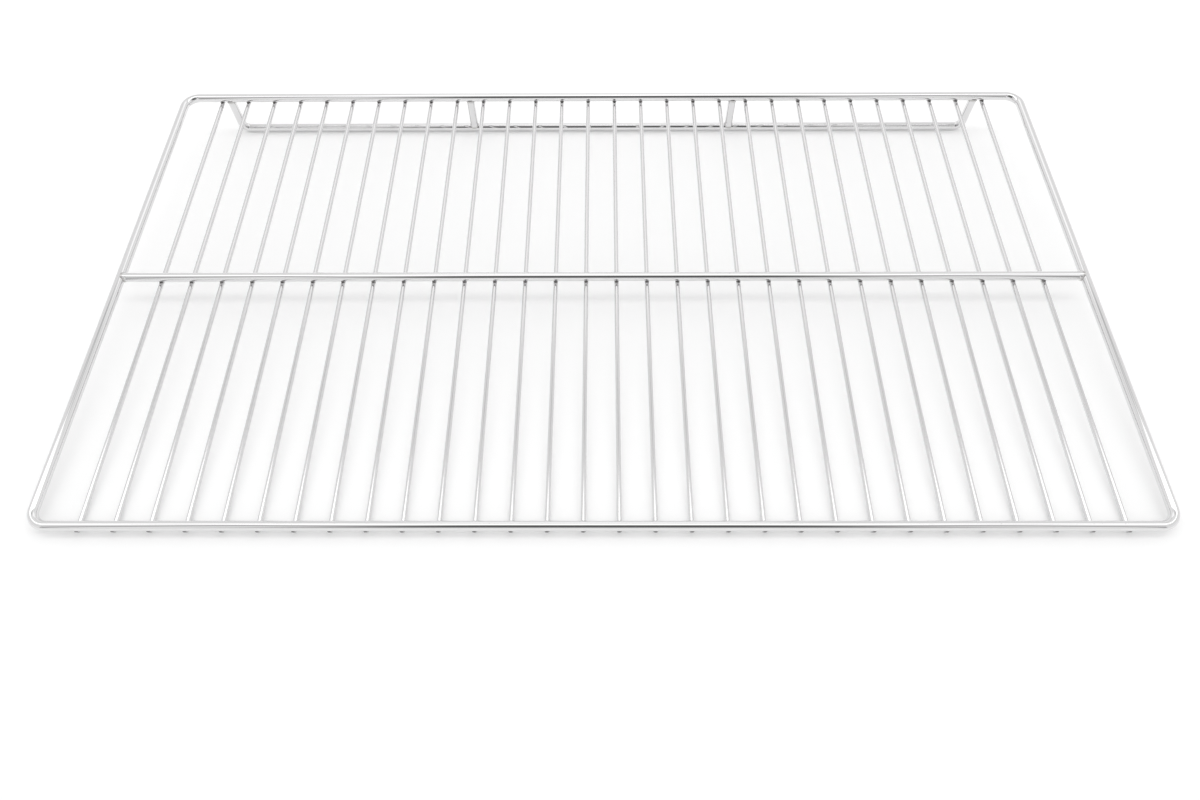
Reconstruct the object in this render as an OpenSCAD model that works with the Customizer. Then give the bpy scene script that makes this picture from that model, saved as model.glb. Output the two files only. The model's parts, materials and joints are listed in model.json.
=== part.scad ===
// Wire shelf for a kitchen appliance, lying on a flat surface with its rear stop turned down.
// A closed loop of thick wire carries a mid bar, a stop along its rear edge and a row of thin wires.
// Everything is laid out in the plane of the shelf first: X runs across, Y runs from the front rail's
// centre line to the rear rail's, and Z = 0 is the plane of the thick wire's centre lines.
// The whole shelf is then leant back until the thin wires' front ends and the stop meet the surface.

/* [Frame] */
// Width of the shelf over the side rails
frame_w = 650; // [500:1:800]
// Depth of the shelf over the front and rear rails
frame_d = 360; // [250:1:500]
// Diameter of the thick wire in the frame, the mid bar and the stop
rail_dia = 6; // [4:0.1:8]
// Radius of the frame's corners at the wire's centre line
corner_r = 10; // [8:0.5:20]

/* [Thin wires] */
// Number of thin wires
wire_count = 30; // [12:1:36]
// Diameter of a thin wire
wire_dia = 3; // [2:0.1:4]
// Distance between the centre lines of a side rail and the thin wire next to it
side_margin = 26.2; // [15:0.1:40]
// Distance by which the ends of the thin wires stop short of the frame's outer edge
wire_trim = 1; // [0:0.1:1.5]
// Chamfer round the cut ends of the thin wires
end_chamfer = 0.3; // [0.1:0.05:0.6]

/* [Stop] */
// Distance between the centre lines of the rear rail and the stop's bar
stop_drop = 29.3; // [20:0.1:60]
// Radius of the stop's two bends at the wire's centre line
stop_bend_r = 6; // [5:0.5:12]
// Distance between the centre lines of an end leg and the outermost thin wire beside it
leg_offset = 7; // [6.5:0.1:8]

/* [Welds] */
// Depth to which each thin wire sinks into the thick wires it crosses
set_down = 0.4; // [0.1:0.05:0.6]
// Distance from a rail's centre line to the end of the bar that is butted against it
weld_reach = 1.2; // [1:0.1:1.6]
// Growth in radius of a bar at its welded end
upset = 0.4; // [0.2:0.05:0.6]
// Length over which that growth fades out
upset_len = 3.2; // [2:0.1:5]

/* [Hidden] */
$fn = 48;
chrome = [0.80, 0.81, 0.82];

rail_r = rail_dia / 2;
wire_r = wire_dia / 2;
span_x = frame_w - rail_dia;
span_y = frame_d - rail_dia;

// Thin wires: even spacing between the two outermost ones, and the height of their centre lines
wire_pitch = (span_x - 2 * side_margin) / (wire_count - 1);
wire_z = set_down - rail_r - wire_r;
wire_reach = rail_r - wire_trim;

// Stop: the end legs stand just inside the outermost wires, and the two posts stand in the middle of
// the gaps that part the wires into three groups
leg_x = span_x / 2 - side_margin - leg_offset;
post_gap = round(wire_count / 3);
post_x = span_x / 2 - side_margin - (post_gap - 0.5) * wire_pitch;

// Rest: the surface touches the lower front corner of the thin wires' ends and the round of the stop's bar
toe_y = wire_reach - end_chamfer;
toe_z = wire_r - wire_z;
rest_run = span_y + toe_y;
rest_fall = stop_drop - toe_z;
rest_tilt = atan2(rest_fall, rest_run) + asin(rail_r / norm([rest_run, rest_fall]));
rest_lift = toe_y * sin(rest_tilt) + toe_z * cos(rest_tilt);
rest_mid_y = (span_y * cos(rest_tilt) + stop_drop * sin(rest_tilt)) / 2;

function wire_name(i) = str("wire_", i < 10 ? "0" : "", i);
function wire_x(i) = side_margin - span_x / 2 + (i - 1) * wire_pitch;

// Leans the shelf back to the way it lies, with the surface at Z = 0 and the origin below its middle
module at_rest() {
    translate([0, -rest_mid_y, rest_lift]) rotate([rest_tilt, 0, 0]) children();
}

// Straight length of thick wire along X, centred
module rail_x(length) {
    rotate([0, 90, 0]) cylinder(r = rail_r, h = length, center = true);
}

// Straight length of thick wire along Y, centred
module rail_y(length) {
    rotate([90, 0, 0]) cylinder(r = rail_r, h = length, center = true);
}

// Quarter bend of thick wire in the XY plane, from the +X side to the +Y side of its centre
module bend(radius) {
    rotate_extrude(angle = 90) translate([radius, 0]) circle(r = rail_r);
}

// End of a bar at Z = 0 that runs up, swollen by the heat and pressure of the butt weld
module upset_end() {
    swell_r = (upset_len * upset_len + upset * upset) / (2 * upset);
    rotate_extrude() intersection() {
        translate([rail_r + upset - swell_r, 0]) circle(r = swell_r, $fn = 360);
        square([rail_r + upset, upset_len]);
    }
}

// Rail along X that a bar's end is saddled on
module saddle_x() {
    rail_x(4 * rail_dia);
}

// Bar along Z between two rails that run along X at Z = 0 and Z = span, saddled on both
module butted_bar(span) {
    difference() {
        union() {
            translate([0, 0, weld_reach]) cylinder(r = rail_r, h = span - 2 * weld_reach);
            translate([0, 0, weld_reach]) upset_end();
            translate([0, 0, span - weld_reach]) mirror([0, 0, 1]) upset_end();
        }
        saddle_x();
        translate([0, 0, span]) saddle_x();
    }
}

// Closed loop of thick wire with four bent corners
module frame() {
    straight_x = span_x - 2 * corner_r;
    straight_y = span_y - 2 * corner_r;
    color(chrome) at_rest() translate([0, span_y / 2, 0]) {
        for (side = [-1, 1]) {
            translate([0, side * span_y / 2, 0]) rail_x(straight_x);
            translate([side * span_x / 2, 0, 0]) rail_y(straight_y);
        }
        for (mx = [0, 1], my = [0, 1])
            mirror([mx, 0, 0]) mirror([0, my, 0])
                translate([straight_x / 2, straight_y / 2, 0]) bend(corner_r);
    }
}

// Bar across the middle of the frame, in the frame's own plane
module mid_bar() {
    color(chrome) at_rest() translate([-span_x / 2, span_y / 2, 0])
        rotate([0, 90, 0]) rotate([0, 0, 90]) butted_bar(span_x);
}

// Stop: a bar with a leg bent up at each end, both legs butted against the rear rail from below
module stop() {
    straight = 2 * (leg_x - stop_bend_r);
    leg_h = stop_drop - stop_bend_r - weld_reach;
    color(chrome) at_rest() translate([0, span_y, 0]) difference() {
        union() {
            translate([0, 0, -stop_drop]) rail_x(straight);
            for (mx = [0, 1]) mirror([mx, 0, 0]) {
                translate([straight / 2, 0, stop_bend_r - stop_drop])
                    rotate([-90, 0, 0]) bend(stop_bend_r);
                translate([leg_x, 0, -leg_h - weld_reach]) cylinder(r = rail_r, h = leg_h);
                translate([leg_x, 0, -weld_reach]) mirror([0, 0, 1]) upset_end();
            }
        }
        for (side = [-1, 1]) translate([side * leg_x, 0, 0]) saddle_x();
    }
}

// Post between the rear rail and the stop's bar, on the left or the right of the middle
module stop_post(side) {
    color(chrome) at_rest() translate([side * post_x, span_y, -stop_drop]) butted_bar(stop_drop);
}

// Thin wire number i from the left, below the frame, sunk a little into each rail that it crosses
module thin_wire(i) {
    length = span_y + 2 * wire_reach;
    color(chrome) at_rest() translate([wire_x(i), span_y / 2, 0]) difference() {
        translate([0, 0, wire_z]) rotate([90, 0, 0]) union() {
            cylinder(r = wire_r, h = length - 2 * end_chamfer, center = true);
            for (mz = [0, 1]) mirror([0, 0, mz]) translate([0, 0, length / 2 - end_chamfer])
                cylinder(r1 = wire_r, r2 = wire_r - end_chamfer, h = end_chamfer);
        }
        for (place = [-1, 0, 1]) translate([0, place * span_y / 2, 0]) rail_x(4 * wire_dia);
    }
}

frame();
mid_bar();
stop();
stop_post(-1);  // stop_post_left
stop_post(1);  // stop_post_right
for (i = [1:wire_count])
    thin_wire(i);
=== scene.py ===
"""Looks of a chrome-plated wire shelf that lies on a white surface with its rear stop turned down.

Each length of wire is a closed surface swept along its own centre line and seated on the wire that carries
it. Lengths are in metres. A shelf point has X across, Y from the front rail's centre line to the rear
rail's, and Z up from the plane of the thick wires. ShelfPlan.place leans it back as the shelf lies.
"""

import json
import logging
import math
from dataclasses import dataclass
from enum import Enum
from functools import cache
from typing import Any

import bpy
import numpy as np
from mathutils import Euler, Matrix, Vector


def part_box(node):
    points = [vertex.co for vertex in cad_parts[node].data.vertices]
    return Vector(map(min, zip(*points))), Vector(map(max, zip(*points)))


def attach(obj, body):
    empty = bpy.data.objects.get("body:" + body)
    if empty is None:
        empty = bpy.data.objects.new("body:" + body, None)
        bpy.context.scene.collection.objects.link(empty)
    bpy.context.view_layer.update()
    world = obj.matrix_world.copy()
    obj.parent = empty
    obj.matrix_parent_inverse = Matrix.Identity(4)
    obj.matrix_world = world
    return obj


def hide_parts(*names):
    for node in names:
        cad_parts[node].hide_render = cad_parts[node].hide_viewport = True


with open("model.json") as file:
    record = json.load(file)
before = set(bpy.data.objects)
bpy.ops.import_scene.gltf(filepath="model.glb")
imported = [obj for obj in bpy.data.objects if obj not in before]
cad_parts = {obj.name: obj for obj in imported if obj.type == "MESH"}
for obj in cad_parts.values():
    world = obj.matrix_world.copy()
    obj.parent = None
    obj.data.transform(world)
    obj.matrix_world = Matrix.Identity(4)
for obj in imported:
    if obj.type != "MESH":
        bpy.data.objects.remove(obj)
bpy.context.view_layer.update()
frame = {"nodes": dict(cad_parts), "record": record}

Array = np.ndarray
Socket = bpy.types.NodeSocket
Triple = tuple[float, float, float]

MM = 0.001
ROUNDING = 1e-12
RING_GAP = 1e-5
BEND_STEP = math.radians(3.0)
FACING_POWER = 1.5

# Offsets from a mark at which rings stand closer: a butted end, a weld on the frame, and a weld on a
# thin wire, whose outer rings lie at the same distances on both sides
END_RINGS = np.concatenate([np.linspace(-4.0, 4.0, 17), [-7.0, -5.5, 5.5, 7.0]]) * MM
LOOP_RINGS = np.array([-6.0, -4.0, -2.8, -2.0, -1.3, -0.6, 0.0, 0.6, 1.3, 2.0, 2.8, 4.0, 6.0]) * MM
FAR_RINGS = np.array([3.2, 4.5, 6.5, 9.0])
CROSS_RINGS = np.concatenate([-FAR_RINGS[::-1], np.linspace(-2.4, 2.4, 17), FAR_RINGS]) * MM

logging.basicConfig(level=logging.INFO, format="%(levelname)s %(message)s")
log = logging.getLogger("wire_shelf")


class Gauge(Enum):
    """The two stocks of wire, named as the record names their finishes."""

    THICK = "thick_wire_chrome"
    THIN = "thin_wire_chrome"


@dataclass(frozen=True)
class ShelfPlan:
    """Main sizes of the shelf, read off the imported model, and the way from shelf points to the frame.

    Distances run between centre lines: stop_drop from the rear rail to the stop's bar, leg_x and post_x
    from the middle, and wire_z from the plane of the thick wires to the thin ones. Front and rise are the
    front rail's middle and the direction to the rear rail, as Y and Z in the shared frame.
    """

    rail_r: float
    wire_r: float
    span_x: float
    span_y: float
    corner_r: float
    stop_drop: float
    leg_x: float
    post_x: float
    wire_z: float
    wire_length: float
    wire_xs: tuple[float, ...]
    front: tuple[float, float]
    rise: tuple[float, float]

    @classmethod
    def from_frame(cls, end_chamfer: float) -> "ShelfPlan":
        """Works the sizes out from the record's two runner rails and the nodes' boxes.

        Args:
            end_chamfer: Width of the eased edge at a thin wire's end.

        Returns:
            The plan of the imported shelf.
        """
        rails = [mount for mount in frame["record"]["mounts"] if mount["kind"] == "slide"]
        rail_r = rails[0]["dims"]["r_mm"] * MM
        run, lift = rails[0]["axis"][1:]
        low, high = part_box("frame")
        span_x = high.x - low.x - 2 * rail_r
        span_y = (high.y - low.y - 2 * rail_r) / run
        side_middle = np.array(rails[0]["pos_m"][1:])
        along, up = np.array([run, lift]), np.array([-lift, run])
        front = side_middle - along * span_y / 2

        stop_low, stop_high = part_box("stop")
        bar = np.array([stop_high.y - rail_r, stop_low.z + rail_r])
        post_low, post_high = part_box("stop_post_right")

        wires = sorted(name for name in frame["nodes"] if name.startswith("wire_"))
        boxes = [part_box(name) for name in wires]
        wire_low, wire_high = boxes[0]
        wire_r = (wire_high.x - wire_low.x) / 2
        middle = np.array([wire_low.y + wire_high.y, wire_low.z + wire_high.z]) / 2
        return cls(
            rail_r=rail_r,
            wire_r=wire_r,
            span_x=span_x,
            span_y=span_y,
            corner_r=(span_y - rails[0]["dims"]["length_mm"] * MM) / 2,
            stop_drop=-float((bar - front) @ up),
            leg_x=stop_high.x - (post_high.x - post_low.x) / 2,
            post_x=(post_low.x + post_high.x) / 2,
            wire_z=float((middle - side_middle) @ up),
            wire_length=(wire_high.y - wire_low.y - 2 * (wire_r - end_chamfer) * lift) / run,
            wire_xs=tuple((low.x + high.x) / 2 for low, high in boxes),
            front=(float(front[0]), float(front[1])),
            rise=(run, lift),
        )

    def place(self, points: Array) -> Array:
        """Leans shelf points back: y runs along the rise, z along its normal, from the front rail's centre.

        Args:
            points: Shelf points, with the three coordinates on the last axis.

        Returns:
            The same points in the shared frame.
        """
        run, lift = self.rise
        x, y, z = np.moveaxis(points, -1, 0)
        return np.stack([x, self.front[0] + y * run - z * lift, self.front[1] + y * lift + z * run], -1)


@dataclass(frozen=True)
class Bend:
    """One stretch of a centre line: its length, and its curvature, which is nought where it is straight."""

    length: float
    curvature: float = 0.0


@dataclass(frozen=True)
class PlanePath:
    """Flat centre line that starts at a point with a heading and goes through its stretches in turn.

    Attributes:
        start: Place of the line's start in its plane.
        heading: Direction at the start, in radians from the plane's first axis towards its second.
        stretches: Straight and bent stretches, end to end.
        origin: Shelf point at which the plane's own coordinates are nought.
        across: Unit vector of the plane's first axis.
        upward: Unit vector of its second axis.
    """

    start: tuple[float, float]
    heading: float
    stretches: tuple[Bend, ...]
    origin: Triple = (0.0, 0.0, 0.0)
    across: Triple = (1.0, 0.0, 0.0)
    upward: Triple = (0.0, 1.0, 0.0)

    @property
    def length(self) -> float:
        """Length of the whole line."""
        return sum(stretch.length for stretch in self.stretches)

    def joints(self) -> Array:
        """Distances along the line at which one stretch gives way to the next, with both ends."""
        return np.concatenate([[0.0], np.cumsum([stretch.length for stretch in self.stretches])])

    def bend_stations(self) -> Array:
        """Distances at even steps of a few degrees through each bend, with its ends."""
        rows = []
        for start, stretch in zip(self.joints(), self.stretches):
            if stretch.curvature:
                steps = math.ceil(abs(stretch.curvature) * stretch.length / BEND_STEP)
                rows.append(start + np.linspace(0.0, stretch.length, steps + 1))
        return np.concatenate(rows)

    def at(self, run: Array) -> tuple[Array, Array, Array, Array]:
        """Follows the line: a straight stretch goes on along its heading h. On a stretch of curvature k the
        heading after a distance d is h + k d, and the point has moved by (sin(h + k d) - sin h) / k along
        the first axis and by (cos h - cos(h + k d)) / k along the second.

        Args:
            run: Distances along the line.

        Returns:
            Points, directions, normals in the plane and normals out of the plane, as shelf vectors.
        """
        place = np.zeros((len(run), 2))
        turn = np.zeros(len(run))
        spot, heading, passed = np.array(self.start), self.heading, 0.0
        for stretch in self.stretches:
            here = run >= passed - ROUNDING
            gone = np.where(here, run - passed, 0.0)
            spots, headings = _follow(spot, heading, stretch.curvature, gone)
            place[here], turn[here] = spots[here], headings[here]
            ends, last = _follow(spot, heading, stretch.curvature, np.array([stretch.length]))
            spot, heading, passed = ends[0], float(last[0]), passed + stretch.length
        first, second = np.array(self.across), np.array(self.upward)
        points = np.array(self.origin) + place[:, :1] * first + place[:, 1:] * second
        ahead = np.cos(turn)[:, None] * first + np.sin(turn)[:, None] * second
        inner = -np.sin(turn)[:, None] * first + np.cos(turn)[:, None] * second
        return points, ahead, inner, np.broadcast_to(np.cross(first, second), points.shape)


def _follow(spot: Array, heading: float, curvature: float, gone: Array) -> tuple[Array, Array]:
    """Places and headings at the given distances along one stretch.

    Args:
        spot: Start of the stretch in the plane.
        heading: Direction at that start.
        curvature: Turn in radians for each metre.
        gone: Distances from the start.

    Returns:
        Points in the plane and headings.
    """
    turned = heading + curvature * gone
    if curvature:
        moved = [np.sin(turned) - math.sin(heading), math.cos(heading) - np.cos(turned)]
        return spot + np.stack(moved, -1) / curvature, turned
    return spot + gone[:, None] * np.array([math.cos(heading), math.sin(heading)]), turned


@dataclass
class Skin:
    """One closed surface as a grid of rings.

    Attributes:
        points: Shelf points, ring by ring.
        drawn: The same points as they lie on a straight length of wire, which finishes follow.
        weld: How near each point is to a weld, from 0 to 1, which sets its dulled plating and painted
            shade.
        looped: True if the last ring joins the first, and otherwise both ends close in a pole.
        crisp: Numbers of the rings whose edge stays crisp.
        slots: Finish number of the faces that follow each ring, or None where all have the first finish.
    """

    points: Array
    drawn: Array
    weld: Array
    looped: bool = False
    crisp: tuple[int, ...] = ()
    slots: Array | None = None

    def faces(self, first: int) -> tuple[list[tuple[int, ...]], Array]:
        """Lists the faces: quads between neighbouring rings, and triangles to the two poles.

        Args:
            first: Number of this skin's first vertex in the mesh. A pole's vertex comes after the rings.

        Returns:
            The faces, each as its vertices' numbers, and each face's finish number.
        """
        rings, around = self.points.shape[:2]
        finishes = np.zeros(rings, int) if self.slots is None else self.slots
        count = rings if self.looped else rings - 1
        start = np.arange(around)
        turn = (start + 1) % around
        ring = np.arange(count)[:, None] * around
        after = (ring + around) % (rings * around)
        corners = [ring + start, ring + turn, after + turn, after + start]
        quads = np.stack(np.broadcast_arrays(*corners), -1).reshape(-1, 4) + first
        faces = list(map(tuple, quads.tolist()))
        slots = np.repeat(finishes[:count], around)
        if self.looped:
            return faces, slots
        last = (rings - 1) * around
        head, tail = rings * around, rings * around + 1
        front = np.stack([turn, start, np.full(around, head)], -1) + first
        back = np.stack([last + start, last + turn, np.full(around, tail)], -1) + first
        faces += list(map(tuple, np.concatenate([front, back]).tolist()))
        return faces, np.concatenate([slots, np.repeat(finishes[[0, -1]], around)])

    def with_poles(self, values: Array) -> Array:
        """Flattens per-vertex values and, on an open skin, adds the mean of each end ring for its pole.

        Args:
            values: One value or vector for each point of the grid.

        Returns:
            The values in the order of the mesh's vertices.
        """
        flat = values.reshape(values.shape[0] * values.shape[1], -1)
        if self.looped:
            return flat
        ends = values[[0, -1]].reshape(2, values.shape[1], -1).mean(1)
        return np.concatenate([flat, ends])


def object_from_skins(
    name: str, skins: list[Skin], plan: ShelfPlan, finishes: list[bpy.types.Material]
) -> bpy.types.Object:
    """Puts closed skins into one mesh object whose place is in its mesh.

    Args:
        name: Name of the piece.
        skins: Closed skins, in shelf points.
        plan: Plan that places them in the frame.
        finishes: Materials, in the order of the skins' finish numbers.

    Returns:
        The new object, smooth apart from its crisp rings.
    """
    points, drawn, weld = (
        np.concatenate([skin.with_poles(getattr(skin, kind)) for skin in skins])
        for kind in ("points", "drawn", "weld")
    )
    crisp = np.full(len(points), -1)
    faces, slots, first = [], [], 0
    for skin in skins:
        skin_faces, skin_slots = skin.faces(first)
        faces += skin_faces
        slots.append(skin_slots)
        around = skin.points.shape[1]
        for ring in skin.crisp:
            start = first + ring * around
            crisp[start : start + around] = start
        first += len(skin.with_poles(skin.weld))
    mesh = bpy.data.meshes.new(name)
    mesh.from_pydata(plan.place(points).tolist(), [], faces)
    mesh.polygons.foreach_set("use_smooth", np.ones(len(faces), bool))
    mesh.polygons.foreach_set("material_index", np.concatenate(slots).astype(np.int32))
    marks = (("drawn", "FLOAT_VECTOR", "vector", drawn), ("weld", "FLOAT", "value", weld))
    for mark, kind, channel, values in marks:
        layer = mesh.attributes.new(mark, kind, "POINT")
        layer.data.foreach_set(channel, values.astype(np.float32).ravel())
    edges = np.empty(len(mesh.edges) * 2, np.int32)
    mesh.edges.foreach_get("vertices", edges)
    ends = crisp[edges.reshape(-1, 2)]
    along_ring = (ends[:, 0] >= 0) & (ends[:, 0] == ends[:, 1])
    mesh.attributes.new("sharp_edge", "BOOLEAN", "EDGE").data.foreach_set("value", along_ring)
    for finish in finishes:
        mesh.materials.append(finish)
    mesh.update()
    piece = bpy.data.objects.new(name, mesh)
    bpy.context.scene.collection.objects.link(piece)
    return piece


def ring_angles(around: int) -> Array:
    """Angles of the points on a ring, evenly spaced over one full turn."""
    return np.arange(around) * (2 * math.pi / around)


def stations(length: float, pitch: float, marks: Array, spread: Array, corners: Array) -> Array:
    """Distances along a wire at which it gets a ring: an even spacing, more on both sides of each mark, and
    the joints between stretches.

    Args:
        length: Length of the wire's centre line.
        pitch: Largest distance between rings.
        marks: Distances at which the form or finish changes quickly.
        spread: Offsets from a mark at which rings are wanted.
        corners: Distances that get a ring of their own.

    Returns:
        Sorted distances, without those that nearly coincide.
    """
    even = np.linspace(0.0, length, max(2, math.ceil(length / pitch) + 1))
    near = (marks[:, None] + spread[None, :]).ravel()
    found = np.sort(np.concatenate([even, near[(near > 0) & (near < length)], corners]))
    return found[np.concatenate([[True], np.diff(found) > RING_GAP])]


def nearness(run: Array, marks: Array, half: float) -> Array:
    """Nearness of each distance to the nearest mark: exp(-(gap / half)^2).

    Args:
        run: Distances along a wire.
        marks: Distances of the marks.
        half: Gap at which the nearness has fallen to 1 / e.

    Returns:
        One value from 0 to 1 for each distance.
    """
    gap = np.abs(run[..., None] - marks).min(-1)
    return np.exp(-((gap / half) ** 2))


def facing(share: Array) -> Array:
    """Fade of a weld's shade round a wire, from the share by which a point faces the weld."""
    return np.clip(share, 0.0, 1.0) ** FACING_POWER


@dataclass(frozen=True)
class Seat:
    """Shape of a bar's end that is butted against a rail across it.

    Attributes:
        rail_r: Radius of that rail.
        reach: Least distance between the rail's centre line and the bar's end.
        swell: Growth in radius at the end.
        fade: Length over which that growth fades out.
        settle: Length over which the rings turn from the saddle's curve to flat ones.
        shade: Distance from the end at which the weld's dulled plating and painted shade have fallen to 1 /
            e.
        cap_rings: Radii of the rings on the end's face, as shares of the end's own.
        rounds: How often the slide and the radius are worked out from each other.
    """

    rail_r: float
    reach: float = 1.2 * MM
    swell: float = 0.4 * MM
    fade: float = 3.2 * MM
    settle: float = 6.0 * MM
    shade: float = 2.2 * MM
    cap_rings: tuple[float, ...] = (0.06, 0.3, 0.55, 0.8)
    rounds: int = 3

    def radius(self, bar_r: float, away: Array) -> Array:
        """Radius of the bar at a distance d from its end: the swelling is an arc that leaves the end square
        and fades out over its length, so the bar's radius plus the swelling loses b - sqrt(b b - d d), with
        b the arc's own radius.

        Args:
            bar_r: Radius of the plain bar.
            away: Distances from the end.

        Returns:
            The radius at each distance.
        """
        arc = (self.fade**2 + self.swell**2) / (2 * self.swell)
        near = np.clip(away, 0.0, self.fade)
        return np.where(away < self.fade, bar_r + self.swell - arc + np.sqrt(arc**2 - near**2), bar_r)

    def saddle(self, offset: Array) -> Array:
        """Distance from the rail's centre line to its surface at a sideways offset, no less than reach."""
        return np.maximum(self.reach, np.sqrt(np.maximum(self.rail_r**2 - offset**2, 0.0)))


@dataclass
class ThickLength:
    """What every length of thick wire has: points on a ring, the largest distance between rings, and how
    far along a rail the dulled plating and painted shade of a thin wire's weld, and of a butted bar's, fall
    to 1 / e.
    """

    plan: ShelfPlan
    around: int = 48
    ring_pitch: float = 5 * MM
    cross_shade: float = 2.6 * MM
    butt_shade: float = 3.6 * MM

    @property
    def seat(self) -> Seat:
        """Shape of an end that is butted against a rail of the same wire."""
        return Seat(self.plan.rail_r)

    def butted(self, path: PlanePath, marks: Array) -> Skin:
        """Sweeps a round bar along a path that starts and ends at the seat's reach from two rails.

        The ring at distance s is centre(s) + r(s) (cos t inner + sin t outer). Near an end its points also
        slide along the bar, so that the end ring lies on the rail: the slide is the saddle's depth at the
        point's sideways offset, times one minus the distance from the end over the settling length. The
        rails lie across the bar and square to its outer normal.

        Args:
            path: Centre line of the bar.
            marks: Distances along the bar that need closer rings.

        Returns:
            The bar's closed skin, with both saddled faces.
        """
        seat, bar_r = self.seat, self.plan.rail_r
        both_ends = np.array([0.0, path.length])
        marks = np.concatenate([both_ends, marks])
        run = stations(path.length, self.ring_pitch, marks, END_RINGS, path.joints())
        centre, ahead, inner, outer = path.at(run)
        turn = ring_angles(self.around)
        cosine, sine = np.cos(turn), np.sin(turn)
        away = np.minimum(run, path.length - run)
        toward = np.where(run < path.length / 2, 1.0, -1.0)[:, None]

        radius = np.repeat(seat.radius(bar_r, away)[:, None], self.around, 1)
        for _ in range(seat.rounds):
            depth = seat.saddle(radius * sine) - seat.reach
            slide = depth * np.clip(1 - away / seat.settle, 0.0, 1.0)[:, None]
            radius = seat.radius(bar_r, away[:, None] + slide)
        spokes = cosine[None, :, None] * inner[:, None] + sine[None, :, None] * outer[:, None]
        body = centre[:, None] + radius[..., None] * spokes
        body = body + (toward * slide)[..., None] * ahead[:, None]
        drawn = np.stack([radius * cosine, radius * sine, run[:, None] + toward * slide], -1)

        caps, cap_drawn = [], []
        for end, sign in ((0, 1), (-1, -1)):
            inset = np.array(seat.cap_rings)[::sign, None] * radius[end]
            depth = sign * (seat.saddle(inset * sine) - seat.reach)
            caps.append(centre[end] + inset[..., None] * spokes[end] + depth[..., None] * ahead[end])
            cap_drawn.append(np.stack([inset * cosine, inset * sine, run[end] + depth], -1))

        # Dulled plating and painted shade near each butted end, where the bar meets the rail
        weld = np.repeat(nearness(run, both_ends, seat.shade)[:, None], self.around, 1)
        cap_count = len(seat.cap_rings)
        cap_weld = np.ones((cap_count, self.around))
        return Skin(
            points=np.concatenate([caps[0], body, caps[1]]),
            drawn=np.concatenate([cap_drawn[0], drawn, cap_drawn[1]]),
            weld=np.concatenate([cap_weld, weld, cap_weld]),
            crisp=(cap_count, cap_count + len(run) - 1),
        )

    def hung_path(self, x: float, stretches: tuple[Bend, ...]) -> PlanePath:
        """Centre line that leaves the rear rail straight down, in the upright plane through that rail.

        Args:
            x: Place across the shelf.
            stretches: Stretches of the line.

        Returns:
            The line, which starts at the seat's reach from the rail's centre line.
        """
        return PlanePath(
            start=(x, -self.seat.reach),
            heading=-math.pi / 2,
            stretches=stretches,
            origin=(0.0, self.plan.span_y, 0.0),
            upward=(0.0, 0.0, 1.0),
        )


@dataclass
class FrameLoop(ThickLength):
    """Closed loop of thick wire with four bent corners."""

    def path(self) -> PlanePath:
        """Centre line: from the front left corner along the front, and round to where it started."""
        plan = self.plan
        side_x = Bend(plan.span_x - 2 * plan.corner_r)
        side_y = Bend(plan.span_y - 2 * plan.corner_r)
        corner = Bend(math.pi / 2 * plan.corner_r, 1 / plan.corner_r)
        return PlanePath((-side_x.length / 2, 0.0), 0.0, (side_x, corner, side_y, corner) * 2)

    def welds(self) -> tuple[Array, Array, Array]:
        """Distances along the loop of the thin wires' welds, the bar's welds and the stop's welds."""
        plan, path = self.plan, self.path()
        joints, xs = path.joints(), np.array(plan.wire_xs)
        rear_middle = joints[4] + (joints[5] - joints[4]) / 2
        sides = np.array([(joints[2] + joints[3]) / 2, (joints[6] + joints[7]) / 2])
        feet = np.array([-plan.leg_x, -plan.post_x, plan.post_x, plan.leg_x])
        return np.concatenate([xs - path.start[0], rear_middle - xs]), sides, rear_middle - feet

    def skin(self) -> Skin:
        """Sweeps a circle along the loop: S(s, t) = centre(s) + r (cos t inner + sin t outer). The weld
        mark, dulled plating and painted shade in the crook, falls off along the loop from each joint, on
        the side of the wire that the joint is on.

        Returns:
            The closed skin.
        """
        plan, path = self.plan, self.path()
        crossings, sides, hung = self.welds()
        marks = np.concatenate([crossings, sides, hung])
        corners = np.concatenate([path.joints(), path.bend_stations()])
        run = stations(path.length, self.ring_pitch, marks, LOOP_RINGS, corners)[:-1]
        centre, _, inner, outer = path.at(run)
        turn = ring_angles(self.around)
        cosine, sine = np.cos(turn), np.sin(turn)
        spokes = cosine[None, :, None] * inner[:, None] + sine[None, :, None] * outer[:, None]
        drawn = np.broadcast_arrays(plan.rail_r * cosine[None], plan.rail_r * sine[None], run[:, None])
        # Painted shade with dulled plating: lower side under thin-wire welds and hanging legs, inner side
        # where the mid bar butts on
        shades = [
            nearness(run, crossings, self.cross_shade)[:, None] * facing(-sine),
            nearness(run, sides, self.butt_shade)[:, None] * facing(cosine),
            nearness(run, hung, self.butt_shade)[:, None] * facing(-sine),
        ]
        return Skin(
            points=centre[:, None] + plan.rail_r * spokes,
            drawn=np.stack(drawn, -1),
            weld=np.maximum.reduce(shades),
            looped=True,
        )


@dataclass
class MidBar(ThickLength):
    """Straight bar across the middle of the frame, butted against both side rails."""

    def skin(self) -> Skin:
        """The bar's skin, with the dulled plating and painted shade of the thin wires' welds on its lower
        side.
        """
        plan, reach = self.plan, self.seat.reach
        start = reach - plan.span_x / 2
        line = (Bend(plan.span_x - 2 * reach),)
        path = PlanePath((start, 0.0), 0.0, line, origin=(0.0, plan.span_y / 2, 0.0))
        marks = np.array(plan.wire_xs) - start
        skin = self.butted(path, marks)
        crossing = nearness(skin.drawn[..., 2], marks, self.cross_shade)
        skin.weld = np.maximum(skin.weld, crossing * facing(-np.sin(ring_angles(self.around))))
        return skin


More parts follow.
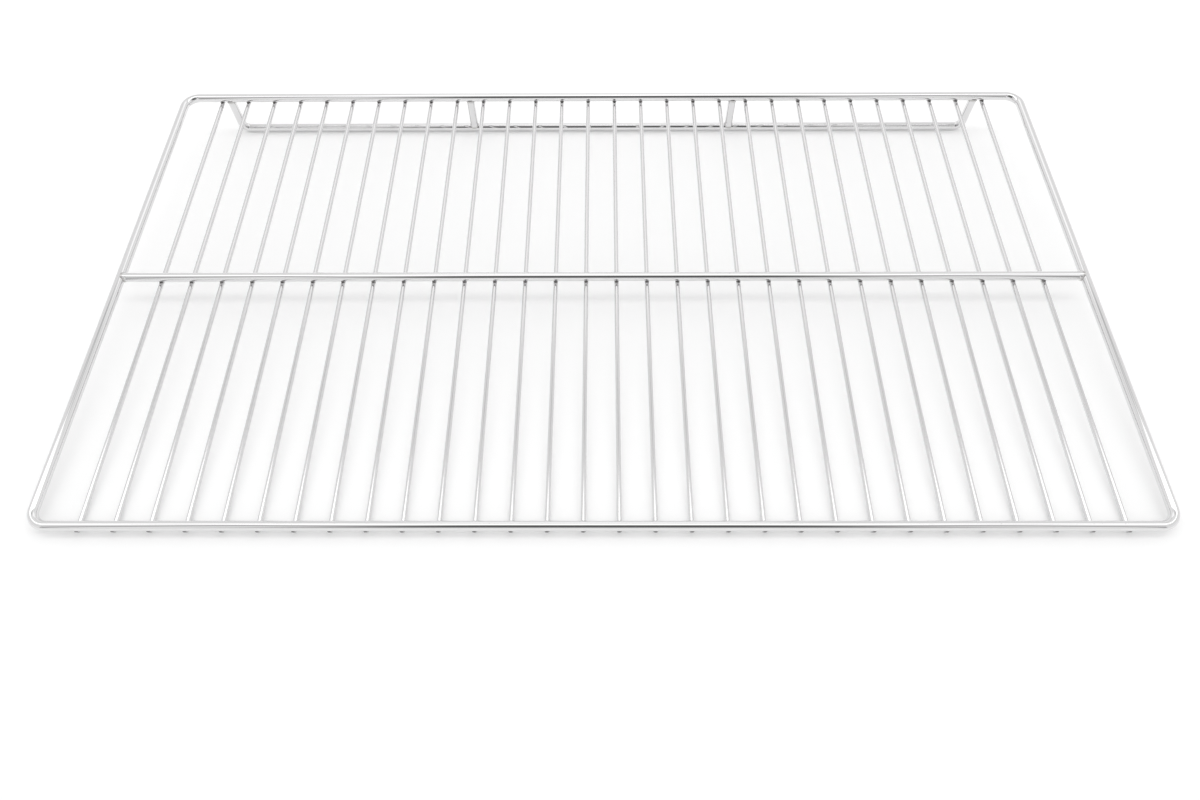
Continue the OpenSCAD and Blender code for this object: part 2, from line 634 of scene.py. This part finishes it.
@dataclass
class RearStop(ThickLength):
    """Thick wire bent into a bar with a leg at each end, hung from the rear rail."""

    bend_r: float = 6 * MM

    def skin(self) -> Skin:
        """The stop's skin, from the top of its left leg round to the top of its right leg."""
        plan = self.plan
        leg = Bend(plan.stop_drop - self.bend_r - self.seat.reach)
        corner = Bend(math.pi / 2 * self.bend_r, 1 / self.bend_r)
        bar = Bend(2 * (plan.leg_x - self.bend_r))
        path = self.hung_path(-plan.leg_x, (leg, corner, bar, corner, leg))
        return self.butted(path, path.bend_stations())


@dataclass
class StopPost(ThickLength):
    """Short post between the rear rail and the stop's bar, at its place x across the shelf."""

    ring_pitch: float = 2 * MM
    x: float = 0.0

    def skin(self) -> Skin:
        """The post's skin, saddled on both rails."""
        length = self.plan.stop_drop - 2 * self.seat.reach
        return self.butted(self.hung_path(self.x, (Bend(length),)), np.zeros(0))


@dataclass(frozen=True)
class ShearedFace:
    """End face that a shear leaves: smooth and square above, torn back a little in ripples below.

    Rings are radii as shares of the rim's, and so is torn_from, the height at which the tearing starts.
    Ripple is the ripples' height as a share of the depth, and turning their angle over one radius.
    """

    rings: tuple[float, ...] = (0.08, 0.3, 0.52, 0.72, 0.88)
    depth: float = 0.05 * MM
    torn_from: float = 0.1
    ripple: float = 0.5
    turning: float = 9.0

    def grid(self, rim_r: float, turn: Array) -> tuple[Array, Array, Array]:
        """Rings of the face: at a share s of the rim's radius R the metal is torn in by the depth, times
        torn_from - z / R from 0 to 1, times 1 + ripple sin(turning x / R), times 1 - s^4.

        Args:
            rim_r: Radius of the face's rim.
            turn: Angles of the points on a ring.

        Returns:
            X, Z and depth for each ring, from the middle to the rim.
        """
        share = np.array(self.rings)[:, None]
        x = share * rim_r * np.cos(turn)
        z = share * rim_r * np.sin(turn)
        torn = np.clip(-z / rim_r + self.torn_from, 0.0, 1.0)
        ripples = 1 + self.ripple * np.sin(self.turning * x / rim_r)
        return x, z, self.depth * torn * ripples * (1 - share**4)


@dataclass(frozen=True)
class WeldBead:
    """Bead of squeezed-out metal in the corner between a thin wire and a rail above it.

    It has steps round the joint and arc_steps over each section's face, which goes on into the metal by the
    overlap, a share of its arc. Its back lies that many ball radii deep. Lumps are waves round the joint:
    their number, their height as a share of the bead's, and their shift in radians for each millimetre of
    the wire's or the rail's place. Lump_range limits them.
    """

    ball_r: float = 0.45 * MM
    steps: int = 28
    arc_steps: int = 7
    overlap: float = 0.12
    back: float = 1.25
    x_lumps: Triple = (3, 0.1, 40)
    y_lumps: Triple = (5, 0.07, 17)
    lump_range: tuple[float, float] = (0.9, 1.12)

    def skin(self, plan: ShelfPlan, wire_x: float, rail_y: float) -> Skin:
        """Shapes the bead as a ball of radius b rolled round the joint leaves it. The ball touches both
        wires, so its centre lies r + b from the thin wire's centre line and R + b from the rail's: at an
        angle a round the joint, y = y_max cos a, z = -sqrt((R + b)^2 - y^2), and x is the square root of
        (r + b)^2 less the square of the height above the wire's centre line, with the sign of sin a. The
        bead's face is the ball's arc between its touching points, raised by the lumps.

        Args:
            plan: Plan of the shelf.
            wire_x: Place of the wire's centre line along X.
            rail_y: Place of the rail's centre line along Y.

        Returns:
            The bead's closed skin.
        """
        ball, steps = self.ball_r, self.steps
        angle = ring_angles(steps)
        wire_reach, rail_reach = plan.wire_r + ball, plan.rail_r + ball
        y_max = math.sqrt(rail_reach**2 - (plan.wire_z + wire_reach) ** 2)
        y = y_max * np.cos(angle)
        z = -np.sqrt(rail_reach**2 - y**2)
        x = np.sqrt(np.maximum(wire_reach**2 - (z - plan.wire_z) ** 2, 0.0)) * np.sign(np.sin(angle))
        centre = np.stack([x, y, z], -1)
        to_wire = np.stack([-x, np.zeros(steps), plan.wire_z - z], -1) / wire_reach
        to_rail = np.stack([np.zeros(steps), -y, -z], -1) / rail_reach
        blend = np.linspace(-self.overlap, 1 + self.overlap, self.arc_steps)[None, :, None]
        way = to_wire[:, None] * (1 - blend) + to_rail[:, None] * blend
        way = way / np.linalg.norm(way, axis=-1, keepdims=True)
        lumps = 1.0
        for (count, height, shift), spot in ((self.x_lumps, wire_x), (self.y_lumps, rail_y)):
            lumps = lumps + height * np.sin(count * angle + shift * spot / MM)
        front = centre[:, None] + way * (ball * (2 - np.clip(lumps, *self.lump_range)))[:, None, None]
        back = centre + (to_wire + to_rail) * ball * self.back
        points = np.concatenate([front, back[:, None]], 1) + np.array([wire_x, rail_y, 0.0])
        drawn = points - np.array([0.0, 0.0, plan.wire_z])
        # The whole bead takes the weld's dulled plating and painted shade, as it sits in the crook
        return Skin(points[::-1], drawn[::-1], np.ones(points.shape[:2]), looped=True)


@dataclass
class ThinWire:
    """Straight thin wire below the frame, with a weld under each of the three rails that it crosses.

    The chamfer eases its ends. Its weld mark, dulled plating and painted shade from the rail above, falls
    to
    1 / e at the distance shade from a rail's centre line: one of its parts goes right round the wire, and
    the other is on the upper side, in the crook under the rail.
    """

    plan: ShelfPlan
    x: float
    around: int = 32
    ring_pitch: float = 6 * MM
    chamfer: float = 0.3 * MM
    ease_rings: int = 5
    ease_gap: float = 1e-6
    shade: float = 4.2 * MM
    shade_parts: tuple[float, float] = (0.45, 0.55)
    end_face: ShearedFace = ShearedFace()
    bead: WeldBead = WeldBead()

    def rails(self) -> Array:
        """Places along Y of the three rails' centre lines."""
        return np.array([0.0, 0.5, 1.0]) * self.plan.span_y

    def skins(self) -> list[Skin]:
        """The wire's own skin and its three weld beads."""
        return [self.wire_skin(), *(self.bead.skin(self.plan, self.x, y) for y in self.rails())]

    def wire_skin(self) -> Skin:
        """Sweeps a circle along Y and presses it in under each rail: a point that would lie inside a rail
        of radius R, at a distance d along Y from its centre line, is lowered to z = -sqrt(R R - d d). At
        each end the radius falls by the chamfer over a quarter of an ellipse, and a sheared face closes it.

        Returns:
            The closed skin.
        """
        plan = self.plan
        half, middle = plan.wire_length / 2, plan.span_y / 2
        marks = self.rails() - middle + half
        run = stations(plan.wire_length, self.ring_pitch, marks, CROSS_RINGS, np.zeros(0))
        clear = self.chamfer + self.ease_gap
        run = run[(run > clear) & (run < plan.wire_length - clear)]
        ease = np.linspace(0.0, math.pi / 2, self.ease_rings)
        eased_run = self.chamfer * (1 - np.cos(ease))
        eased_r = plan.wire_r - self.chamfer * (1 - np.sin(ease))
        run = np.concatenate([eased_run, run, plan.wire_length - eased_run[::-1]])
        radius = np.full(len(run), plan.wire_r)
        radius[: len(ease)], radius[-len(ease) :] = eased_r, eased_r[::-1]

        turn = ring_angles(self.around)
        face_x, face_z, torn = self.end_face.grid(eased_r[0], turn)
        x = np.concatenate([face_x, radius[:, None] * np.cos(turn), face_x[::-1]])
        z = np.concatenate([face_z, radius[:, None] * np.sin(turn), face_z[::-1]])
        lengthways = np.repeat(run[:, None], self.around, 1)
        y = np.concatenate([torn, lengthways, plan.wire_length - torn[::-1]])
        along = y - half + middle
        height = plan.wire_z + z
        for rail in self.rails():
            roof = -np.sqrt(np.maximum(plan.rail_r**2 - (along - rail) ** 2, 0.0))
            height = np.where(np.abs(along - rail) < plan.rail_r, np.minimum(height, roof), height)
        # Painted shade: darker round the wire near each rail, and more on its upper side, in the crook
        # under the rail
        whole, upper = self.shade_parts
        fade = whole + upper * np.clip(np.sin(turn), 0.0, 1.0)
        face_rings = len(self.end_face.rings)
        slots = np.zeros(len(y), int)
        slots[: face_rings + 1] = slots[-face_rings - 1 :] = 1
        return Skin(
            points=np.stack([self.x - x, along, height], -1),
            drawn=np.stack([x + self.x, z, y], -1),
            weld=nearness(along, self.rails(), self.shade) * fade,
            crisp=(face_rings, len(y) - face_rings - 1),
            slots=slots,
        )


@dataclass(frozen=True)
class Grain:
    """Noise that follows the drawn wire: spots to the metre across and along it, finer layers and the
    strength of each against the one before, a swirl, and the values between which a mask cut from it rises.
    """

    across: float
    along: float
    layers: float
    rough: float = 0.5
    swirl: float = 0.0
    edge: tuple[float, float] = (0.0, 1.0)


SLOW_SWELLS = Grain(across=120.0, along=75.0, layers=1.0)
ORANGE_PEEL = Grain(across=900.0, along=900.0, layers=2.0, rough=0.6)
DIE_LINES = Grain(across=3200.0, along=14.0, layers=3.0, rough=0.55, edge=(0.45, 0.72))
LINE_PATCHES = Grain(across=300.0, along=55.0, layers=1.0)
SMEARS = Grain(across=40.0, along=26.0, layers=4.0, rough=0.6, swirl=0.8, edge=(0.5, 0.74))
FINGER_RIDGES = Grain(across=700.0, along=2100.0, layers=1.0, edge=(0.25, 0.6))
WELD_EDGE = Grain(across=1500.0, along=1500.0, layers=3.0, rough=0.65, edge=(0.3, 0.95))

RIDGE_GAPS = 0.55  # strength of a smear between its finger ridges
WELD_RAGGED = 0.9  # how far the weld's shade wanders in and out
PIT_CELLS = 480.0  # cells to the metre, each of which may hold one pit


class NodeBench:
    """Small helper that adds, sets and links nodes in one tree."""

    def __init__(self, tree: bpy.types.NodeTree) -> None:
        """Starts with an empty tree."""
        self.tree = tree
        tree.nodes.clear()

    def add(self, kind: str, settings: dict[str, Any] | None = None, **inputs: Any) -> bpy.types.Node:
        """Adds a node.

        Args:
            kind: Blender's name for the node's class, such as ShaderNodeMath.
            settings: Properties to set on the node.
            **inputs: Input sockets by name, with spaces written as underscores, or by number, as i0. A
                value is set, and an output socket is linked.

        Returns:
            The new node.
        """
        node = self.tree.nodes.new(kind)
        for key, value in (settings or {}).items():
            setattr(node, key, value)
        for key, value in inputs.items():
            numbered = key[1:].isdigit()
            self.feed(node.inputs[int(key[1:]) if numbered else key.replace("_", " ")], value)
        return node

    def feed(self, socket: Socket, value: Any) -> None:
        """Links an output socket to an input, or sets the input's own value."""
        if isinstance(value, Socket):
            self.tree.links.new(value, socket)
        else:
            socket.default_value = value

    def math(self, operation: str, first: Any, second: Any = 0.0, third: Any = 0.0) -> Socket:
        """Adds a math node and returns its result."""
        node = self.add("ShaderNodeMath", {"operation": operation}, i0=first, i1=second, i2=third)
        return node.outputs[0]

    def ramp(self, value: Any, low: Any, high: Any, start: float = 0.0, end: float = 1.0) -> Socket:
        """Maps a value smoothly from low and high to start and end, and returns the result."""
        settings = {"interpolation_type": "SMOOTHSTEP"}
        node = self.add("ShaderNodeMapRange", settings, i0=value, i1=low, i2=high, i3=start, i4=end)
        return node.outputs[0]

    def scaled(self, vector: Any, scale: Triple) -> Socket:
        """Multiplies a vector by a scale, axis by axis, and returns the result."""
        return self.add("ShaderNodeVectorMath", {"operation": "MULTIPLY"}, i0=vector, i1=scale).outputs[0]

    def mixed(self, share: Any, first: Any, second: Any) -> Socket:
        """Mixes two colours, each a socket or four numbers, and returns the result."""
        return self.add("ShaderNodeMix", {"data_type": "RGBA"}, i0=share, i6=first, i7=second).outputs[2]


class EffectGroup(NodeBench):
    """Node group for one shared effect on the drawn wire's coordinates, with named sockets."""

    def __init__(self, name: str, **inputs: float) -> None:
        """Starts the group.

        Args:
            name: Name of the effect.
            **inputs: Its inputs after the wire's coordinates, with the values that they start from.
        """
        self.group = bpy.data.node_groups.new(name, "ShaderNodeTree")
        super().__init__(self.group)
        sockets = self.group.interface
        sockets.new_socket(name="Vector", in_out="INPUT", socket_type="NodeSocketVector")
        for title, value in inputs.items():
            made = sockets.new_socket(name=title, in_out="INPUT", socket_type="NodeSocketFloat")
            made.default_value = value
        self.given = self.add("NodeGroupInput").outputs

    def noise(self, grain: Grain) -> Socket:
        """Adds noise of the given grain on the wire's coordinates and returns its value."""
        spot = self.scaled(self.given["Vector"], (grain.across, grain.across, grain.along))
        looks = {"Detail": grain.layers, "Roughness": grain.rough, "Distortion": grain.swirl}
        return self.add("ShaderNodeTexNoise", Vector=spot, Scale=1.0, **looks).outputs[0]

    def giving(self, **results: Socket) -> bpy.types.NodeTree:
        """Ends the group with one output for each result, under its name, and returns the group."""
        for title in results:
            self.group.interface.new_socket(name=title, in_out="OUTPUT", socket_type="NodeSocketFloat")
        self.add("NodeGroupOutput", **results)
        return self.group


@cache
def plating_ripple_group() -> bpy.types.NodeTree:
    """Slow swells and fine orange peel of a plated surface, as a height in metres."""
    group = EffectGroup("plating_ripple", Swell=6e-6, Peel=8e-7)
    swell = group.math("MULTIPLY", group.noise(SLOW_SWELLS), group.given["Swell"])
    height = group.math("MULTIPLY_ADD", group.noise(ORANGE_PEEL), group.given["Peel"], swell)
    return group.giving(Height=height)


@cache
def drawing_marks_group() -> bpy.types.NodeTree:
    """Fine lines that the drawing die leaves along a wire, as a height in metres and a mask."""
    group = EffectGroup("drawing_marks", Depth=1e-6, Share=0.5)
    lines = group.noise(DIE_LINES)
    limit = group.math("SUBTRACT", 1.0, group.given["Share"])
    there = group.ramp(group.noise(LINE_PATCHES), limit, 1.0)
    mask = group.math("MULTIPLY", group.ramp(lines, *DIE_LINES.edge), there)
    return group.giving(Height=group.math("MULTIPLY", lines, group.given["Depth"]), Mask=mask)


@cache
def handling_film_group() -> bpy.types.NodeTree:
    """Faint smears and finger marks that dull a bright surface, as a mask."""
    group = EffectGroup("handling_film", Amount=0.5)
    smear = group.ramp(group.noise(SMEARS), *SMEARS.edge)
    ridges = group.ramp(group.noise(FINGER_RIDGES), *FINGER_RIDGES.edge, RIDGE_GAPS, 1.0)
    broken = group.math("MULTIPLY", smear, ridges)
    return group.giving(Mask=group.math("MULTIPLY", broken, group.given["Amount"]))


@cache
def plating_pits_group() -> bpy.types.NodeTree:
    """Pinholes and specks, a few to the decimetre, as a mask."""
    group = EffectGroup("plating_pits", Size=0.12, Share=0.12)
    cells = group.scaled(group.given["Vector"], (PIT_CELLS,) * 3)
    spots = group.add("ShaderNodeTexVoronoi", Vector=cells, Scale=1.0, Randomness=1.0).outputs
    spot = group.add("ShaderNodeMapRange", i0=spots["Distance"], i1=group.given["Size"], i2=0.0)
    chosen = group.add("ShaderNodeSeparateColor", Color=spots["Color"]).outputs[0]
    kept = group.math("LESS_THAN", chosen, group.given["Share"])
    return group.giving(Mask=group.math("MULTIPLY", spot.outputs[0], kept))


@cache
def weld_dulling_and_painted_shade_group() -> bpy.types.NodeTree:
    """Dulled plating round a weld, with painted shade in the crook where wire and rail meet, ragged at its
    edge, as a mask.
    """
    group = EffectGroup("weld_dulling_and_painted_shade", Nearness=0.0)
    ragged = group.math("SUBTRACT", group.noise(WELD_EDGE), 0.5)
    shifted = group.math("MULTIPLY_ADD", ragged, WELD_RAGGED, group.given["Nearness"])
    return group.giving(Mask=group.ramp(shifted, *WELD_EDGE.edge))


def bare_material(name: str) -> tuple[bpy.types.Material, NodeBench]:
    """Makes a material with an empty tree, and returns it with a bench for that tree."""
    made = bpy.data.materials.new(name)
    made.use_nodes = True
    return made, NodeBench(made.node_tree)


@dataclass(frozen=True)
class ChromeFinish:
    """Bright chrome over steel, with the marks that its maker and its use leave.

    Plate and dull are the colours of clean plating and of plating under a smear. The weld colour is for the
    crook
    of a weld: dulled weld plating, darkened further by painted shade where wire and rail meet. Speck is a
    pit's.
    Polish is the roughness of clean plating, and the other names in rough are what each mark adds to it.
    Depths, swells and peel are in metres. Shares say how much of the surface or the colour shows, and film
    how strong smears and finger marks are.
    """

    name: str
    plate: Triple
    dull: Triple
    scorch_and_painted_shade: Triple
    polish: float
    marks_depth: float
    marks_share: float
    marks_rough: float
    film: float
    swell: float
    peel: float
    speck: Triple = (0.09, 0.085, 0.08)
    speck_share: float = 0.6
    smear_share: float = 0.22
    film_rough: float = 0.14
    weld_rough: float = 0.2
    pit_rough: float = 0.35
    pit_depth: float = 1.2e-5

    def material(self) -> bpy.types.Material:
        """Builds the material from the shared effects.

        Returns:
            The material.
        """
        made, bench = bare_material(self.name)
        drawn = bench.add("ShaderNodeAttribute", {"attribute_name": "drawn"}).outputs["Vector"]
        near = bench.add("ShaderNodeAttribute", {"attribute_name": "weld"}).outputs["Fac"]

        def effect(tree: bpy.types.NodeTree, **inputs: Any) -> Any:
            """Places one shared effect on the wire's own coordinates and returns its outputs."""
            return bench.add("ShaderNodeGroup", {"node_tree": tree}, Vector=drawn, **inputs).outputs

        ripple = effect(plating_ripple_group(), Swell=self.swell, Peel=self.peel)["Height"]
        marks = effect(drawing_marks_group(), Depth=self.marks_depth, Share=self.marks_share)
        film = effect(handling_film_group(), Amount=self.film)["Mask"]
        pits = effect(plating_pits_group())["Mask"]
        weld = effect(weld_dulling_and_painted_shade_group(), Nearness=near)["Mask"]

        # Weld colour: dulled plating with painted shade in the crook of each weld
        colour = bench.mixed(weld, (*self.plate, 1.0), (*self.scorch_and_painted_shade, 1.0))
        colour = bench.mixed(bench.math("MULTIPLY", pits, self.speck_share), colour, (*self.speck, 1.0))
        colour = bench.mixed(bench.math("MULTIPLY", film, self.smear_share), colour, (*self.dull, 1.0))
        rough = bench.math("MULTIPLY_ADD", marks["Mask"], self.marks_rough, self.polish)
        for mask, added in ((film, self.film_rough), (weld, self.weld_rough), (pits, self.pit_rough)):
            rough = bench.math("MULTIPLY_ADD", mask, added, rough)
        height = bench.math("ADD", ripple, marks["Height"])
        height = bench.math("MULTIPLY_ADD", pits, -self.pit_depth, height)
        bump = bench.add("ShaderNodeBump", Strength=1.0, Distance=1.0, Height=height).outputs[0]
        sockets = {"Base_Color": colour, "Metallic": 1.0, "Roughness": rough, "Normal": bump}
        shader = bench.add("ShaderNodeBsdfPrincipled", **sockets)
        bench.add("ShaderNodeOutputMaterial", Surface=shader.outputs[0])
        return made


THICK_CHROME = ChromeFinish(
    name="thick_wire_chrome",
    plate=(0.768, 0.764, 0.768),
    dull=(0.60, 0.59, 0.57),
    # Weld colour: dulled plating with a little painted shade in the crook under the wires
    scorch_and_painted_shade=(0.54, 0.53, 0.52),
    polish=0.05,
    marks_depth=6e-7,
    marks_share=0.4,
    marks_rough=0.06,
    film=0.5,
    swell=9e-6,
    peel=5e-7,
)
THIN_CHROME = ChromeFinish(
    name="thin_wire_chrome",
    plate=(0.735, 0.732, 0.737),
    dull=(0.57, 0.56, 0.54),
    # Weld colour, near black: painted shade in the crook under each rail, over dulled weld plating
    scorch_and_painted_shade=(0.16, 0.155, 0.15),
    polish=0.09,
    marks_depth=1.2e-6,
    marks_share=0.65,
    marks_rough=0.12,
    film=0.45,
    swell=5e-6,
    peel=6e-7,
)
SHEARED_END = ChromeFinish(
    name="sheared_end_chrome",
    plate=(0.66, 0.665, 0.67),
    dull=(0.46, 0.45, 0.43),
    # Weld colour where an end lies under a rail: dulled plating and painted shade
    scorch_and_painted_shade=(0.3, 0.29, 0.28),
    polish=0.3,
    marks_depth=6e-6,
    marks_share=0.9,
    marks_rough=0.2,
    film=0.7,
    swell=9e-6,
    peel=4e-6,
)


@dataclass(frozen=True)
class PhotoCamera:
    """Camera at the photograph's viewpoint.

    Attributes:
        place: Where it stands.
        turn: Its turn about X, Y and Z, in degrees.
        focal_px: Focal length in pixels of the whole picture.
        centre_px: Pixel that its axis meets.
        picture: Width and height of the whole picture, in pixels.
        sensor_mm: Width of its sensor.
        sight: Nearest and farthest distance that it sees.
    """

    place: Triple = (0.00054, -0.3831, 0.42767)
    turn: Triple = (34.8744, 0.2779, 0.1343)
    focal_px: float = 829.0
    centre_px: tuple[float, float] = (597.8, 396.0)
    picture: tuple[int, int] = (1200, 800)
    sensor_mm: float = 36.0
    sight: tuple[float, float] = (0.01, 60.0)

    def build(self) -> None:
        """Makes the camera and gives it to the scene."""
        width, height = self.picture
        lens = bpy.data.cameras.new("photo_camera")
        lens.sensor_fit = "HORIZONTAL"
        lens.sensor_width = self.sensor_mm
        lens.lens = self.focal_px / width * self.sensor_mm
        lens.shift_x = (width / 2 - self.centre_px[0]) / width
        lens.shift_y = (self.centre_px[1] - height / 2) / width
        lens.clip_start, lens.clip_end = self.sight
        camera = bpy.data.objects.new("photo_camera", lens)
        camera.location = self.place
        camera.rotation_euler = Euler([math.radians(angle) for angle in self.turn])
        bpy.context.scene.collection.objects.link(camera)
        bpy.context.scene.camera = camera


def flat_sheet(name: str, half: tuple[float, float], material: bpy.types.Material) -> bpy.types.Object:
    """Makes a flat rectangle round the origin at Z = 0, facing up.

    Args:
        name: Name of the sheet.
        half: Half its width and half its depth.
        material: Its material.

    Returns:
        The new object.
    """
    mesh = bpy.data.meshes.new(name)
    corners = [(sx * half[0], sy * half[1], 0.0) for sx, sy in ((-1, -1), (1, -1), (1, 1), (-1, 1))]
    mesh.from_pydata(corners, [], [(0, 1, 2, 3)])
    mesh.materials.append(material)
    sheet = bpy.data.objects.new(name, mesh)
    bpy.context.scene.collection.objects.link(sheet)
    return sheet


class CardKind(Enum):
    """The two kinds of card round the shelf."""

    SOFT_BOX = "lies flat overhead and lights the floor"
    DARK_SHAPE = "stands upright and is only mirrored"


@dataclass(frozen=True)
class StudioCard:
    """Flat card of even brightness that fades out towards its edges and that the camera doesn't see.

    Attributes:
        name: Name of the card.
        kind: Whether it is a soft box or a dark shape.
        place: Its middle.
        half: Half its width and half its depth or height, with its soft edges.
        core: Share of each half over which it is at full strength.
        level: Its brightness.
    """

    name: str
    kind: CardKind
    place: Triple
    half: tuple[float, float]
    core: tuple[float, float]
    level: float

    def build(self) -> None:
        """Hangs the card in its place."""
        card = flat_sheet(self.name, self.half, self.material())
        card.location = self.place
        card.visible_camera = card.visible_transmission = card.visible_volume_scatter = False
        if self.kind is CardKind.DARK_SHAPE:
            card.rotation_euler = Euler((math.pi / 2, 0.0, 0.0))
            card.visible_diffuse = card.visible_shadow = False

    def material(self) -> bpy.types.Material:
        """Makes the card's material, whose strength is a ramp of X times a ramp of Y from its middle."""
        made, bench = bare_material(self.name)
        spot = bench.add("ShaderNodeTexCoord").outputs["Object"]
        parts = bench.add("ShaderNodeSeparateXYZ", Vector=spot)
        shares = [
            bench.ramp(bench.math("ABSOLUTE", part), core * half, half, 1.0, 0.0)
            for part, core, half in zip(parts.outputs, self.core, self.half)
        ]
        solid = bench.math("MULTIPLY", *shares)
        glow = bench.add("ShaderNodeEmission", Color=(1.0, 1.0, 1.0, 1.0), Strength=self.level)
        clear = bench.add("ShaderNodeBsdfTransparent")
        both = bench.add("ShaderNodeMixShader", i0=solid, i1=clear.outputs[0], i2=glow.outputs[0])
        bench.add("ShaderNodeOutputMaterial", Surface=both.outputs[0])
        return made


@dataclass(frozen=True)
class Studio:
    """White floor under a pale dome, with soft boxes overhead and dark shapes behind the camera.

    Attributes:
        floor_half: Half the floor's side.
        floor_white: Brightness of the floor.
        floor_rough: Roughness of the floor.
        floor_lift: Light that the floor gives off where the camera sees it, straight or in metal or glass,
            so that it photographs white.
        dome: Brightness of the dome at heights above the horizon, given as sines of the height.
        cards: Soft boxes and dark shapes that the chrome mirrors.
    """

    floor_half: float = 14.0
    floor_white: float = 0.93
    floor_rough: float = 0.9
    floor_lift: float = 0.11
    dome: tuple[tuple[float, float], ...] = (
        (0.0, 0.936),
        (0.4, 0.936),
        (0.52, 0.96),
        (0.6, 0.7),
        (0.66, 0.92),
        (0.83, 0.92),
        (0.86, 0.86),
        (0.89, 0.5),
        (0.92, 0.81),
        (0.95, 1.0),
    )
    cards: tuple[StudioCard, ...] = (
        StudioCard("soft_box", CardKind.SOFT_BOX, (0.0, 0.14, 1.35), (1.6, 0.29), (0.85, 0.45), 1.9),
        StudioCard("rear_box", CardKind.SOFT_BOX, (0.0, 0.95, 0.9), (0.52, 0.55), (0.55, 0.7), 1.19),
        StudioCard("dark_shape", CardKind.DARK_SHAPE, (0.03, -0.63, 1.0), (0.58, 0.8), (0.42, 0.9), 0.13),
        StudioCard("left_shape", CardKind.DARK_SHAPE, (-0.775, -0.7, 1.0), (0.1, 0.8), (0.3, 0.9), 0.3),
        StudioCard("right_shape", CardKind.DARK_SHAPE, (0.775, -0.7, 1.0), (0.1, 0.8), (0.3, 0.9), 0.3),
    )

    def build(self) -> None:
        """Builds the floor, the dome and the cards."""
        self.build_floor()
        self.build_dome()
        for card in self.cards:
            card.build()

    def build_floor(self) -> None:
        """Makes the floor, a flat square at Z = 0."""
        material, bench = bare_material("studio_floor")
        rays = bench.add("ShaderNodeLightPath").outputs
        mirrored = bench.math("MAXIMUM", rays["Is Glossy Ray"], rays["Is Transmission Ray"])
        seen = bench.math("MAXIMUM", rays["Is Camera Ray"], mirrored)
        shader = bench.add(
            "ShaderNodeBsdfPrincipled",
            Base_Color=(self.floor_white,) * 3 + (1.0,),
            Roughness=self.floor_rough,
            Specular_IOR_Level=0.0,
            Emission_Color=(1.0, 1.0, 1.0, 1.0),
            Emission_Strength=bench.math("MULTIPLY", seen, self.floor_lift),
        )
        bench.add("ShaderNodeOutputMaterial", Surface=shader.outputs[0])
        floor = flat_sheet("studio_floor", (self.floor_half, self.floor_half), material)

    def build_dome(self) -> None:
        """Lights the scene from all sides: brightness depends only on the height above the horizon."""
        world = bpy.data.worlds.new("studio_dome")
        world.use_nodes = True
        bpy.context.scene.world = world
        bench = NodeBench(world.node_tree)
        way = bench.add("ShaderNodeTexCoord").outputs["Generated"]
        height = bench.add("ShaderNodeSeparateXYZ", Vector=way).outputs["Z"]
        curve = bench.add("ShaderNodeValToRGB", Fac=height)
        stops = curve.color_ramp.elements
        for number, (sine, level) in enumerate(self.dome):
            stop = stops[number] if number < len(stops) else stops.new(sine)
            stop.position = sine
            stop.color = (level, level, level, 1.0)
        light = bench.add("ShaderNodeBackground", Color=curve.outputs["Color"], Strength=1.0)
        bench.add("ShaderNodeOutputWorld", Surface=light.outputs[0])


@dataclass
class WireShelf:
    """The whole shelf, piece by piece, in the finishes that its two gauges of wire have."""

    plan: ShelfPlan

    def build(self) -> None:
        """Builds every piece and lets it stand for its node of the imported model."""
        plan = self.plan
        thick = [THICK_CHROME.material()]
        thin = [THIN_CHROME.material(), SHEARED_END.material()]
        bars = {
            "frame_loop": (FrameLoop(plan), "frame"),
            "mid_cross_bar": (MidBar(plan), "mid_bar"),
            "rear_stop_bar": (RearStop(plan), "stop"),
            "left_stop_post": (StopPost(plan, x=-plan.post_x), "stop_post_left"),
            "right_stop_post": (StopPost(plan, x=plan.post_x), "stop_post_right"),
        }
        for name, (bar, node) in bars.items():
            self.fit(name, [bar.skin()], thick, node)
        for number, x in enumerate(plan.wire_xs, 1):
            wire = ThinWire(plan, x)
            self.fit(f"thin_wire_{number:02d}", wire.skins(), thin, f"wire_{number:02d}")

    def fit(self, name: str, skins: list[Skin], finishes: list[Any], node: str) -> None:
        """Makes one piece and puts it in the place of its node.

        Args:
            name: Name of the piece.
            skins: Its closed skins.
            finishes: Its materials.
            node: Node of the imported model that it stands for.
        """
        piece = object_from_skins(name, skins, self.plan, finishes)
        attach(piece, "root")
        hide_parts(node)
        log.info("%s: %d vertices, %d faces", name, len(piece.data.vertices), len(piece.data.polygons))


def main() -> None:
    """Builds the shelf, then the studio and the camera, and sets plain colours."""
    plan = ShelfPlan.from_frame(ThinWire.chamfer)
    log.info("plan: %s", plan)
    WireShelf(plan).build()
    Studio().build()
    PhotoCamera().build()
    bpy.context.scene.view_settings.view_transform = "Standard"


if __name__ == "__main__":
    main()
